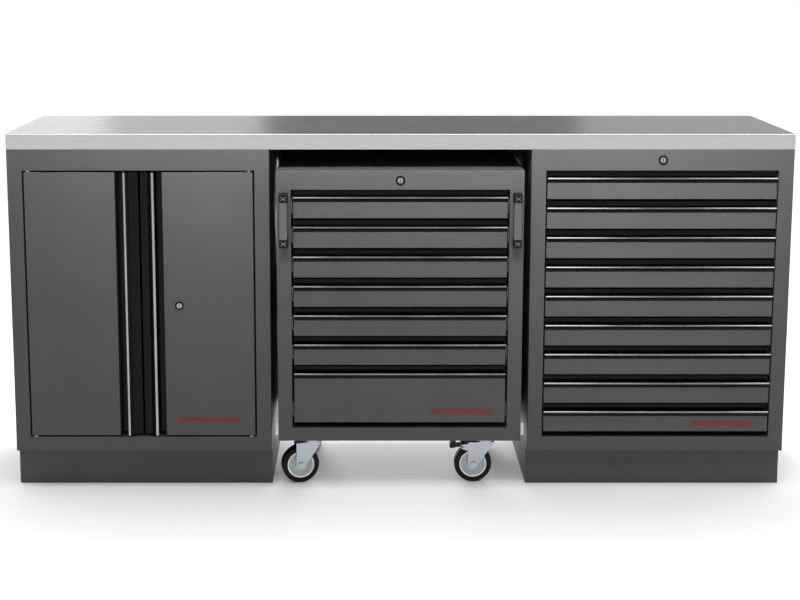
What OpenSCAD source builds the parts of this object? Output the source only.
// Workbench with a two-door cabinet, a nine-drawer cabinet and a tool trolley between them.
// +X points to the right, the front faces -Y and +Z points up.
// The origin is on the floor, in the middle of the whole bench.

/* [Bench] */
// Width of each of the three units
unit_w = 680; // [600:10:820]
// Depth of the cabinets and the worktop
unit_d = 460; // [450:10:600]
// Height of the plinths
plinth_h = 100; // [60:5:120]
// How far the plinths stand back from the cabinet fronts
plinth_recess = 30; // [10:5:60]
// Thickness of the worktop
worktop_t = 40; // [30:1:50]
// Height of the rail under the back of the worktop, between the cabinets
rail_h = 90; // [50:5:110]
// Depth of that rail
rail_d = 28; // [20:1:32]
// Thickness of the steel skin around the worktop's core
skin_t = 1.5; // [1:0.1:3]

/* [Cabinets] */
// Thickness of the cabinets' sheet steel
sheet = 1.5; // [1:0.1:2.5]
// Width of the cabinets' side posts
stile_w = 39; // [25:1:55]
// Height of the rail over the opening
top_rail_h = 56; // [45:1:75]
// Height of the rail under the opening
bottom_rail_h = 39; // [25:1:60]
// Depth of the folded edge all round an opening
return_d = 40; // [35:1:60]
// Height of the shelf over the left cabinet's bottom edge
shelf_lift = 314.6; // [100:0.1:600]
// Number of drawers in the right cabinet
right_count = 9; // [6:1:9]

/* [Doors] */
// Gap round each door
door_gap = 4; // [3.5:0.5:6]
// Thickness of a door
door_t = 20; // [16:1:26]
// Width of the finger channel beside a door's lip
door_channel_w = 20; // [16:1:30]
// Width of a door's rounded lip
door_lip_w = 11; // [8:1:16]
// Width of the slope between a door's lip and the middle gap
door_slope_w = 28; // [20:1:40]
// Depth of a door's pull
door_pull_d = 30; // [26:1:34]
// Radius of a hinge pin
hinge_pin_r = 4; // [3:0.5:5]
// Distance of a hinge pin from the side edge of its door
hinge_inset = 10; // [9:0.5:12]
// Distance of a hinge pin behind the face of its door
hinge_depth = 8; // [8:0.5:10]

/* [Drawers] */
// Height from one drawer to the next
pitch = 78.2; // [65:0.1:95]
// Height of a shallow drawer's flat front
panel_h = 43.5; // [35:0.5:52]
// Height of the slope under a drawer's lip
underside_h = 8.4; // [6:0.1:10]
// Height of a drawer's rounded lip
lip_h = 6.3; // [5:0.1:8]
// How far a drawer's lip stands out
lip_proud = 7; // [5:0.5:10]
// Height from the top of an opening down to the first lip
top_channel = 16.5; // [14:0.5:20]
// Height of an opening beyond its drawers' pitches
stack_margin = 11.2; // [8:0.2:20]
// Gap between a drawer pull's back wall and the drawer over it
channel_gap = 6; // [4:0.5:8]
// Gap between the first pull's back wall and the top of its opening
top_channel_gap = 2.5; // [2:0.5:6]
// Thickness of a drawer's hollow front
front_t = 18; // [15:1:24]
// Thickness of a drawer's sheet steel
drawer_sheet = 1; // [0.8:0.1:1.5]
// Depth of a drawer's tray
tray_d = 385; // [330:5:390]
// Height of a shallow drawer's tray
tray_h = 60; // [45:1:64]
// Space between a tray and the side of its opening, for a runner
runner_t = 13; // [12.5:0.5:16]
// Height of a runner
runner_h = 35; // [30:1:42]

/* [Trolley] */
// Gap between the trolley and each cabinet
trolley_gap = 19.5; // [15:0.5:30]
// How far the trolley's front stands out from the cabinets
trolley_proud = 20; // [10:1:30]
// Depth of the trolley
trolley_d = 440; // [430:5:460]
// Width of the trolley's side posts
trolley_stile_w = 37.5; // [32:0.5:50]
// Height of the trolley's rail over its drawers
trolley_top_rail_h = 50; // [40:1:60]
// Height of the trolley's rail under its drawers
trolley_bottom_rail_h = 36; // [25:1:50]
// Height of a side handle
handle_h = 140; // [120:5:180]
// Height from the top of the trolley down to its handles
handle_drop = 57; // [40:1:90]
// How far a side handle stands out
handle_proud = 34; // [30:1:45]
// Width of a side handle
handle_w = 22; // [18:1:28]

/* [Casters] */
// Radius of a wheel
wheel_r = 50; // [40:1:60]
// Width of a tyre
wheel_w = 30; // [24:1:34]
// Distance of a wheel's axle behind its swivel pin
trail = 34; // [28:1:36]
// Distance of the casters from the trolley's sides
caster_inset_x = 87; // [80:1:110]
// Distance of the casters from the trolley's front and back
caster_inset_y = 75; // [60:1:100]
// Height of a caster's head, from its fork's crown to the trolley
caster_head_h = 24; // [22:1:40]
// Width of the ring of rubber and rim round a wheel's dished disc
tread_w = 14; // [10:0.5:20]
// Distance from a wheel's axle along to its pedal's pin
pedal_offset = 30; // [28:1:40]
// Reach of a pedal beyond its pin
pedal_l = 36; // [30:1:50]
// Radius of an axle
axle_r = 5; // [4:0.5:6]
// Way that the left front wheel points at rest
left_caster_turn = 192; // [160:1:200]
// Way that the right front wheel points at rest
right_caster_turn = 180; // [160:1:200]

/* [Hidden] */
$fn = 48;
trolley_count = 7;
tall_pitches = 2;
run_gap = 0.06;

opening_h = right_count * pitch + stack_margin;
opening_w = unit_w - 2 * stile_w;
carcass_h = top_rail_h + opening_h + bottom_rail_h;
top_z = plinth_h + carcass_h + worktop_t;
opening_z = plinth_h + bottom_rail_h;
bench_w = 3 * unit_w;
front_y = -(unit_d - trolley_proud - handle_proud) / 2;

crown_z = 2 * wheel_r + 10;
trolley_under = crown_z + caster_head_h;
trolley_w = unit_w - 2 * trolley_gap;
trolley_opening_w = trolley_w - 2 * trolley_stile_w;
trolley_opening_h = (trolley_count - 1 + tall_pitches) * pitch + stack_margin;
trolley_h = trolley_top_rail_h + trolley_opening_h + trolley_bottom_rail_h;
trolley_front_y = front_y - trolley_proud;
trolley_top_z = trolley_under + trolley_h;

door_w = (opening_w - 3 * door_gap) / 2;
door_h = opening_h - 2 * door_gap;
door_pull_w = door_channel_w + door_lip_w + door_slope_w;
door_panel_w = door_w - door_pull_w;
hinge_flange_r = hinge_pin_r + 3;
bush_h = 12;
edge_lip = 14;

lip_drop = lip_h + underside_h;
pull_wall = 2.5;
runner_y = front_t + 4;
runner_l = tray_d - 5;
runner_lift = 8;
tray_lift = 4;
side_gap_cabinet = 3;
side_gap_trolley = 5;

lock_r = 11;
lock_w = 24;
cam_t = 3;
door_cam_l = 108;
cam_clear = 6;
lock_inset = 40;

shelf_t = 20;
shelf_z = opening_z + shelf_lift;

fork_wall = 3;
cheek_r = 13;
fork_gap = 1;
hub_w = wheel_w + 4;
hub_r = 15;
fork_y = hub_w / 2 + fork_gap;
crown_t = 9;
crown_r = 25;
plate_t = 4;
plate_w = 70;
kingpin_r = 6;
pedal_x = trail + pedal_offset;
pedal_z = 2 * wheel_r - 1;
pedal_reach = pedal_x + pedal_l;
pedal_w = 28;
pedal_pin_r = 3;

carcass_colour = [0.36, 0.37, 0.38];
front_colour = [0.40, 0.41, 0.42];
black = [0.05, 0.05, 0.055];
bright = [0.78, 0.78, 0.79];
zinc = [0.70, 0.72, 0.74];

function numbered(name, count) = [for (i = [1:count]) str(name, i)];

// ---- shared shapes ----

// A box between two corners
module block(low, high) {
    translate(low) cube(high - low);
}

// An outline in depth and height, drawn out along X about the middle
module along_x(length) {
    rotate([90, 0, 90]) linear_extrude(height = length, center = true) children();
}

// A sheet-steel case with a front opening whose edges fold inwards
module carcass(w, d, h, stile, top_rail, bottom_rail) {
    open_x = w / 2 - stile;
    open_top = h - top_rail;
    difference() {
        block([-w / 2, 0, 0], [w / 2, d, h]);
        block([-w / 2 + sheet, sheet, sheet], [w / 2 - sheet, d - sheet, h - sheet]);
        block([-open_x, -1, bottom_rail], [open_x, sheet + 1, open_top]);
    }
    difference() {
        block([-open_x - sheet, 0, bottom_rail - sheet], [open_x + sheet, return_d, open_top + sheet]);
        block([-open_x, -1, bottom_rail], [open_x, return_d + 1, open_top]);
    }
}

// Two posts at the back of a case, which the runners' far ends are fixed to
module rear_posts(w, d, h, stile) {
    for (side = [-1, 1]) {
        post_x = side * (w / 2 - stile + sheet / 2);
        translate([post_x - sheet / 2, runner_y + runner_l - 20, sheet])
            cube([sheet, d - sheet - (runner_y + runner_l - 20), h - 2 * sheet]);
    }
}

// Height of a drawer's lower edge, counted from the top of its opening
function drawer_drop(i, tall) =
    top_channel + lip_drop + panel_h + (i - 1) * pitch + (tall ? (tall_pitches - 1) * pitch : 0);

// Height of a pull's back wall over its lip
function channel_rise(i) =
    i == 1 ? top_channel - top_channel_gap : pitch - panel_h - lip_drop - channel_gap;

// The fixed half of a runner: a channel open towards the drawer
module runner_channel() {
    difference() {
        block([0, 0, 0], [8, runner_l, runner_h]);
        block([sheet, -1, sheet], [9, runner_l + 1, runner_h - sheet]);
    }
}

// The sliding half of a runner: a smaller channel that faces the fixed one
module runner_slide() {
    slide_h = runner_h - 10;
    difference() {
        block([3.5, 0, 5], [runner_t, runner_l, 5 + slide_h]);
        block([3, -1, 5 + sheet], [runner_t - sheet, runner_l + 1, 5 + slide_h - sheet]);
    }
}

// Puts a runner half on each side of an opening
module both_sides(open_w) {
    for (side = [0, 1]) {
        mirror([side, 0, 0]) translate([-open_w / 2, runner_y, 0]) children();
    }
}

// Folded-steel drawer: hollow front, tray and the sliding halves of its runners
module drawer(open_w, side_gap, extra_h) {
    front_w = open_w - 2 * side_gap;
    tray_w = open_w - 2 * runner_t;
    front_h = panel_h + extra_h;
    tray_top = tray_lift + tray_h + extra_h;
    difference() {
        block([-front_w / 2, 0, 0], [front_w / 2, front_t, front_h]);
        block([-front_w / 2 + sheet, sheet, -1], [front_w / 2 - sheet, front_t + 1, front_h - sheet]);
    }
    difference() {
        block([-tray_w / 2, front_t, tray_lift], [tray_w / 2, front_t + tray_d, tray_top]);
        block([-tray_w / 2 + drawer_sheet, front_t + drawer_sheet, tray_lift + drawer_sheet],
              [tray_w / 2 - drawer_sheet, front_t + tray_d - drawer_sheet, tray_top + 1]);
    }
    // the front's back plate closes it against the tray
    block([-front_w / 2, front_t - sheet, sheet], [front_w / 2, front_t, front_h]);
    both_sides(open_w) translate([0, 0, tray_lift + runner_lift]) runner_slide();
}

// Full-width pull: a rounded lip on a sloping web, with a finger channel behind it
module drawer_pull(length, rise) {
    lip_r = lip_h / 2;
    lip_y = lip_r - lip_proud;
    lip_z = underside_h + lip_r;
    color(black) along_x(length) {
        translate([lip_y, lip_z]) circle(r = lip_r);
        polygon([[0, 0], [pull_wall + 1, 0], [lip_y + 1, lip_z], [lip_y - lip_r, lip_z]]);
        square([front_t - sheet, pull_wall]);
        translate([front_t - sheet - pull_wall, 0])
            square([pull_wall, lip_drop + rise]);
    }
}

// Vertical pull at a door's free edge: finger channel, rounded lip, slope to the middle gap
module door_pull_bar() {
    lip_r = door_lip_w / 2;
    lip_x = door_channel_w + lip_r;
    slope_y = door_t - 6;
    color(black) linear_extrude(height = door_h) {
        square([pull_wall, door_pull_d]);
        translate([0, door_pull_d - pull_wall]) square([door_pull_w, pull_wall]);
        translate([lip_x, lip_r - 4]) circle(r = lip_r);
        translate([lip_x + 1, lip_r]) square([pull_wall, door_pull_d - lip_r]);
        polygon([[lip_x, -4 + 0.5], [lip_x, lip_r], [door_pull_w, slope_y + pull_wall],
                 [door_pull_w, slope_y]]);
        translate([door_pull_w - pull_wall, slope_y]) square([pull_wall, door_pull_d - slope_y]);
    }
}

// Folded-steel door leaf with a bush at the top and bottom for its hinge pins
module door_leaf() {
    difference() {
        union() {
            difference() {
                block([0, 0, 0], [door_panel_w, door_t, door_h]);
                block([sheet, sheet, sheet], [door_panel_w - sheet, door_t + 1, door_h - sheet]);
            }
            difference() {
                block([0, door_t - sheet, 0], [door_panel_w, door_t, door_h]);
                block([edge_lip, door_t - sheet - 1, edge_lip],
                      [door_panel_w - edge_lip, door_t + 1, door_h - edge_lip]);
            }
            for (z = [0, door_h - bush_h]) {
                translate([hinge_inset, hinge_depth, z]) cylinder(r = hinge_pin_r + 3.5, h = bush_h);
            }
        }
        for (z = [-1, door_h - bush_h - 1]) {
            translate([hinge_inset, hinge_depth, z])
                cylinder(r = hinge_pin_r + run_gap, h = bush_h + 2);
        }
    }
}

// A hinge pin with its fixing flange, pointing up from the edge of the opening
module hinge_pin() {
    cylinder(r = hinge_flange_r, h = door_gap / 2);
    cylinder(r = hinge_pin_r, h = door_gap + bush_h - 2);
}

// Lock plug along Y with a flat cam behind it, pointing down
module lock_plug(radius, length, cam_l) {
    rotate([-90, 0, 0]) translate([0, 0, -2]) cylinder(r = radius, h = length + 2);
    translate([-radius * 0.7, length - cam_t, -cam_l])
        cube([radius * 1.4, cam_t, cam_l]);
}

// ---- bench ----

module worktop_skin() {
    color(bright) difference() {
        block([-bench_w / 2, front_y, top_z - worktop_t], [bench_w / 2, front_y + unit_d, top_z]);
        block([-bench_w / 2 + skin_t, front_y + skin_t, top_z - worktop_t - 1],
              [bench_w / 2 - skin_t, front_y + unit_d - skin_t, top_z - skin_t]);
    }
}

module worktop_core() {
    color([0.72, 0.56, 0.38])
        block([-bench_w / 2 + skin_t, front_y + skin_t, top_z - worktop_t],
              [bench_w / 2 - skin_t, front_y + unit_d - skin_t, top_z - skin_t]);
}

module left_cabinet_body() {
    color(carcass_colour) translate([-unit_w, front_y, plinth_h])
        carcass(unit_w, unit_d, carcass_h, stile_w, top_rail_h, bottom_rail_h);
}

module right_cabinet_body() {
    color(carcass_colour) translate([unit_w, front_y, plinth_h]) {
        difference() {
            carcass(unit_w, unit_d, carcass_h, stile_w, top_rail_h, bottom_rail_h);
            translate([0, -1, carcass_h - top_rail_h / 2]) rotate([-90, 0, 0])
                cylinder(r = lock_w / 2 + run_gap, h = sheet + 2);
        }
        rear_posts(unit_w, unit_d, carcass_h, stile_w);
    }
}

module plinths() {
    color(carcass_colour) for (side = [-1, 1]) {
        translate([side * unit_w, front_y, 0]) difference() {
            block([-unit_w / 2, plinth_recess, 0], [unit_w / 2, unit_d, plinth_h]);
            block([-unit_w / 2 + sheet, plinth_recess + sheet, sheet],
                  [unit_w / 2 - sheet, unit_d - sheet, plinth_h - sheet]);
        }
    }
}

// Folded rail that carries the back of the worktop over the trolley's bay
module rear_rail() {
    color(carcass_colour)
        translate([0, front_y + unit_d, top_z - worktop_t - rail_h]) difference() {
            block([-unit_w / 2, -rail_d, 0], [unit_w / 2, 0, rail_h]);
            block([-unit_w / 2 - 1, -rail_d + sheet, sheet], [unit_w / 2 + 1, 1, rail_h - sheet]);
        }
}

// Shelf with a turned-down edge, between the sides of the left cabinet
module shelf() {
    color(front_colour) translate([-unit_w, front_y, shelf_z]) difference() {
        block([-unit_w / 2 + sheet, return_d, 0], [unit_w / 2 - sheet, unit_d - sheet, shelf_t]);
        block([-unit_w / 2 + sheet - 1, return_d + sheet, -1],
              [unit_w / 2 - sheet + 1, unit_d - 2 * sheet, shelf_t - sheet]);
    }
}

module right_drawer_runners() {
    opening_top = opening_z + opening_h;
    color(zinc) for (i = [1:right_count]) {
        lift = opening_top - drawer_drop(i, false) + tray_lift + runner_lift;
        translate([unit_w, front_y, lift]) both_sides(opening_w) runner_channel();
    }
}

module door_hinges() {
    color(zinc) for (side = [-1, 1]) {
        translate([-unit_w + side * (opening_w / 2 - door_gap - hinge_inset), front_y + hinge_depth, 0]) {
            translate([0, 0, opening_z]) hinge_pin();
            translate([0, 0, opening_z + opening_h]) mirror([0, 0, 1]) hinge_pin();
        }
    }
}

// ---- doors, drawn from the hinge edge towards the middle ----

module at_door(side) {
    translate([-unit_w - side * (opening_w / 2 - door_gap), front_y, opening_z + door_gap])
        mirror([side < 0 ? 1 : 0, 0, 0]) children();
}

module left_door() {
    color(front_colour) at_door(1) door_leaf();
}

module left_door_pull() {
    at_door(1) translate([door_panel_w, 0, 0]) door_pull_bar();
}

module right_door() {
    color(front_colour) difference() {
        at_door(-1) door_leaf();
        at_door(-1) translate([door_panel_w - lock_inset, -1, door_h / 2])
            rotate([-90, 0, 0]) cylinder(r = lock_r + run_gap, h = sheet + 2);
    }
}

module right_door_pull() {
    at_door(-1) translate([door_panel_w, 0, 0]) door_pull_bar();
}

module door_lock() {
    color(bright) at_door(-1) translate([door_panel_w - lock_inset, 0, door_h / 2])
        lock_plug(lock_r, door_pull_d + 8, door_cam_l);
}

module right_cabinet_lock() {
    color(bright) translate([unit_w, front_y, plinth_h + carcass_h - top_rail_h / 2])
        lock_plug(lock_w / 2, 18, top_rail_h / 2 - cam_clear);
}

// ---- drawers of the right cabinet ----

module at_right_drawer(i) {
    translate([unit_w, front_y, opening_z + opening_h - drawer_drop(i, false)]) children();
}

module right_drawer(i) {
    color(front_colour) at_right_drawer(i) drawer(opening_w, side_gap_cabinet, 0);
}

module right_drawer_pull(i) {
    at_right_drawer(i) translate([0, 0, panel_h])
        drawer_pull(opening_w - 2 * side_gap_cabinet, channel_rise(i));
}

// ---- trolley ----

module trolley_body() {
    color(carcass_colour) translate([0, trolley_front_y, trolley_under]) {
        difference() {
            carcass(trolley_w, trolley_d, trolley_h, trolley_stile_w, trolley_top_rail_h,
                    trolley_bottom_rail_h);
            translate([0, -1, trolley_h - trolley_top_rail_h / 2]) rotate([-90, 0, 0])
                cylinder(r = lock_w / 2 + run_gap, h = sheet + 2);
        }
        rear_posts(trolley_w, trolley_d, trolley_h, trolley_stile_w);
    }
}

module trolley_drawer_runners() {
    opening_top = trolley_top_z - trolley_top_rail_h;
    color(zinc) for (i = [1:trolley_count]) {
        lift = opening_top - drawer_drop(i, i == trolley_count) + tray_lift + runner_lift;
        translate([0, trolley_front_y, lift]) both_sides(trolley_opening_w) runner_channel();
    }
}

// Upright bar handle between two end caps, on each side post
module trolley_side_handles() {
    cap_h = 22;
    color(bright) for (side = [-1, 1]) {
        translate([side * (trolley_w - trolley_stile_w) / 2, trolley_front_y,
                   trolley_top_z - handle_drop - handle_h]) {
            for (z = [0, handle_h - cap_h]) {
                block([-handle_w / 2, -handle_proud, z], [handle_w / 2, 0, z + cap_h]);
            }
            block([-handle_w / 2 + 2, 1 - handle_proud, cap_h],
                  [handle_w / 2 - 2, 13 - handle_proud, handle_h - cap_h]);
        }
    }
}

module trolley_lock() {
    color(bright) translate([0, trolley_front_y, trolley_top_z - trolley_top_rail_h / 2])
        lock_plug(lock_w / 2, 18, trolley_top_rail_h / 2 - cam_clear);
}

module at_trolley_drawer(i) {
    drop = drawer_drop(i, i == trolley_count);
    translate([0, trolley_front_y, trolley_top_z - trolley_top_rail_h - drop]) children();
}

function trolley_extra_h(i) = i == trolley_count ? (tall_pitches - 1) * pitch : 0;

module trolley_drawer(i) {
    color(front_colour) at_trolley_drawer(i)
        drawer(trolley_opening_w, side_gap_trolley, trolley_extra_h(i));
}

module trolley_drawer_pull(i) {
    at_trolley_drawer(i) translate([0, 0, panel_h + trolley_extra_h(i)])
        drawer_pull(trolley_opening_w - 2 * side_gap_trolley, channel_rise(i));
}

// ---- casters, each drawn on its swivel axis with the wheel trailing towards +X ----

module at_caster(side, end) {
    inset_y = end < 0 ? caster_inset_y : trolley_d - caster_inset_y;
    translate([side * (trolley_w / 2 - caster_inset_x), trolley_front_y + inset_y, 0]) children();
}

// One cheek of a fork, as an outline in the plane of the wheel
module fork_cheek(offset_x, ear) {
    far_x = max(offset_x + cheek_r, crown_r - 3);
    translate([offset_x, wheel_r]) circle(r = cheek_r);
    polygon([[-crown_r + 3, crown_z + 2], [far_x, crown_z + 2], [offset_x + cheek_r, wheel_r],
             [offset_x - cheek_r, wheel_r]]);
    if (ear) {
        polygon([[crown_r - 12, crown_z + 2], [pedal_x, pedal_z + 6], [pedal_x + 6, pedal_z],
                 [pedal_x, pedal_z - 6], [offset_x + 4, pedal_z - 14]]);
    }
}

// Crown, two cheeks and the axle bolt
module fork(offset_x, ear) {
    translate([0, 0, crown_z]) cylinder(r = crown_r, h = crown_t);
    translate([-crown_r + 3, -fork_y - fork_wall, crown_z])
        cube([2 * crown_r - 6, 2 * (fork_y + fork_wall), 3]);
    for (side = [-1, 1]) {
        translate([0, side * (fork_y + fork_wall / 2) + fork_wall / 2, 0]) rotate([90, 0, 0])
            difference() {
                linear_extrude(height = fork_wall) fork_cheek(offset_x, ear);
                translate([offset_x, wheel_r, -1])
                    cylinder(r = axle_r + run_gap, h = fork_wall + 2);
                if (ear) {
                    translate([pedal_x, pedal_z, -1])
                        cylinder(r = pedal_pin_r + run_gap, h = fork_wall + 2);
                }
            }
    }
    axle_bolt(offset_x);
}

module axle_bolt(offset_x) {
    bolt_y = fork_y + fork_wall;
    translate([offset_x, 0, wheel_r]) rotate([90, 0, 0]) {
        cylinder(r = axle_r, h = 2 * bolt_y + 1, center = true);
        for (end = [-1, 1]) {
            translate([0, 0, end * (bolt_y + 2.6)]) cylinder(r = axle_r + 3.5, h = 5, center = true);
        }
    }
}

module swivel_fork(ear) {
    color(zinc) {
        fork(trail, ear);
        translate([0, 0, crown_z]) cylinder(r = kingpin_r, h = trolley_under - crown_z - 1);
    }
}

// Tyre, dished disc and hub on one axis along Y
module wheel(offset_x) {
    dish_r = wheel_r - tread_w;
    color([0.12, 0.12, 0.13]) translate([offset_x, 0, wheel_r]) rotate([90, 0, 0]) difference() {
        union() {
            rotate_extrude() {
                translate([wheel_r - 4, 0]) square([8, wheel_w - 8], center = true);
                square([wheel_r - 4, wheel_w / 2]);
                translate([0, -wheel_w / 2]) square([wheel_r - 4, wheel_w / 2]);
                for (end = [-1, 1]) {
                    translate([wheel_r - 4, end * (wheel_w / 2 - 4)]) circle(r = 4);
                }
            }
            cylinder(r = hub_r, h = hub_w, center = true);
        }
        for (end = [-1, 1]) {
            translate([0, 0, end * (wheel_w / 2 + 5)]) difference() {
                cylinder(r = dish_r, h = 14, center = true);
                cylinder(r = hub_r, h = 16, center = true);
            }
        }
        cylinder(r = axle_r + run_gap, h = hub_w + 2, center = true);
    }
}

// Brake pedal on a pin between the fork's ears
module brake_pedal() {
    tread_z = pedal_z + 4;
    color(black) {
        translate([pedal_x, 0, pedal_z]) rotate([90, 0, 0]) {
            cylinder(r = pedal_pin_r, h = 2 * (fork_y + fork_wall), center = true);
            cylinder(r = 5, h = 2 * fork_y - 2, center = true);
        }
        block([pedal_x, -pedal_w / 2, pedal_z], [pedal_reach - 8, pedal_w / 2, tread_z]);
        block([pedal_reach - 18, -pedal_w / 2, pedal_z - 6], [pedal_reach - 2, pedal_w / 2, tread_z + 8]);
    }
}

module front_left_fork() {
    at_caster(-1, -1) rotate(left_caster_turn) swivel_fork(false);
}

module front_right_fork() {
    at_caster(1, -1) rotate(right_caster_turn) swivel_fork(true);
}

module front_left_wheel() {
    at_caster(-1, -1) rotate(left_caster_turn) wheel(trail);
}

module front_right_wheel() {
    at_caster(1, -1) rotate(right_caster_turn) wheel(trail);
}

module front_right_brake() {
    at_caster(1, -1) rotate(right_caster_turn) brake_pedal();
}

// A square plate, screwed to the underside of the trolley
module caster_plate() {
    block([-plate_w / 2, -plate_w / 2, trolley_under - plate_t], [plate_w / 2, plate_w / 2, trolley_under]);
}

// Top plates and raceways, with the holes that the kingpins turn in
module front_caster_plates() {
    head_z = crown_z + crown_t;
    color(zinc) for (side = [-1, 1]) {
        at_caster(side, -1) difference() {
            union() {
                caster_plate();
                translate([0, 0, head_z + 1]) cylinder(r = crown_r - 2, h = trolley_under - head_z - 1);
            }
            translate([0, 0, crown_z]) cylinder(r = kingpin_r + run_gap, h = trolley_under);
        }
    }
}

// Fixed forks, whose wheels roll straight out from under the worktop
module rear_caster_forks() {
    color(zinc) for (side = [-1, 1]) {
        at_caster(side, 1) rotate(90) {
            fork(0, false);
            translate([0, 0, crown_z]) cylinder(r = crown_r - 4, h = trolley_under - crown_z);
            caster_plate();
        }
    }
}

module rear_left_wheel() {
    at_caster(-1, 1) rotate(90) wheel(0);
}

module rear_right_wheel() {
    at_caster(1, 1) rotate(90) wheel(0);
}

// ---- what is drawn ----

worktop_skin();
worktop_core();
left_cabinet_body();
right_cabinet_body();
plinths();
shelf();
rear_rail();
right_drawer_runners();
door_hinges();
left_door();
left_door_pull();
right_door();
right_door_pull();
door_lock();
right_cabinet_lock();
trolley_body();
trolley_drawer_runners();
trolley_side_handles();
trolley_lock();
front_caster_plates();
rear_caster_forks();
front_left_fork();
front_right_fork();
front_left_wheel();
front_right_wheel();
front_right_brake();
rear_left_wheel();
rear_right_wheel();
for (i = [1:right_count]) {
    right_drawer(i);
    right_drawer_pull(i);
}
for (i = [1:trolley_count]) {
    trolley_drawer(i);
    trolley_drawer_pull(i);
}
